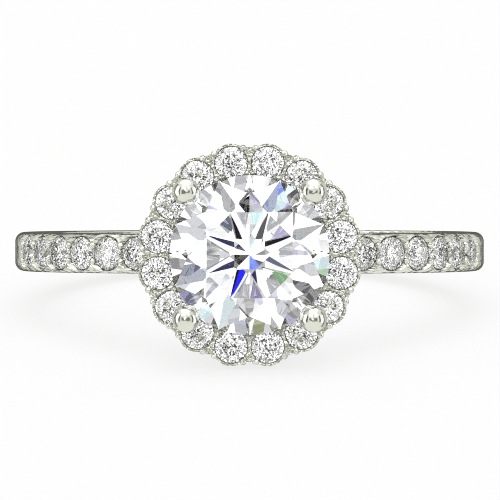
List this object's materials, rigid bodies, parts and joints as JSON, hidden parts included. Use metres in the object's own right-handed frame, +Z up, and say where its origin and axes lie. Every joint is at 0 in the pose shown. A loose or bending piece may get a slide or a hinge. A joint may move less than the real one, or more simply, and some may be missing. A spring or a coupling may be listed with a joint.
{
  "type": "halo ring",
  "caption": "Ring with a round brilliant in four ball-tipped prongs, a scalloped halo of small round stones, and a slim band set with stones down both shoulders.",
  "frame": {"origin": "on the surface that the ring lies on, below the middle of its box", "axes": "+Z up from that surface, close to the finger hole's axis; the head faces -Y and a little up; +X towards the wearer's right shoulder of the ring as the head is looked at"},
  "size_m": [0.0198, 0.024, 0.0091],
  "materials": {
    "metal": "polished white gold",
    "centre_stone": "polished facets",
    "small_stones": "polished facets"
  },
  "bodies": {
    "root": {"setting": "metal", "centre_stone": "centre_stone", "halo_stone_01": "small_stones", "halo_stone_02": "small_stones", "halo_stone_03": "small_stones", "halo_stone_04": "small_stones", "halo_stone_05": "small_stones", "halo_stone_06": "small_stones", "halo_stone_07": "small_stones", "halo_stone_08": "small_stones", "halo_stone_09": "small_stones", "halo_stone_10": "small_stones", "halo_stone_11": "small_stones", "halo_stone_12": "small_stones", "halo_stone_13": "small_stones", "halo_stone_14": "small_stones", "halo_stone_15": "small_stones", "halo_stone_16": "small_stones", "shoulder_stone_left_1": "small_stones", "shoulder_stone_left_2": "small_stones", "shoulder_stone_left_3": "small_stones", "shoulder_stone_left_4": "small_stones", "shoulder_stone_left_5": "small_stones", "shoulder_stone_left_6": "small_stones", "shoulder_stone_right_1": "small_stones", "shoulder_stone_right_2": "small_stones", "shoulder_stone_right_3": "small_stones", "shoulder_stone_right_4": "small_stones", "shoulder_stone_right_5": "small_stones", "shoulder_stone_right_6": "small_stones"}
  },
  "joints": []
}
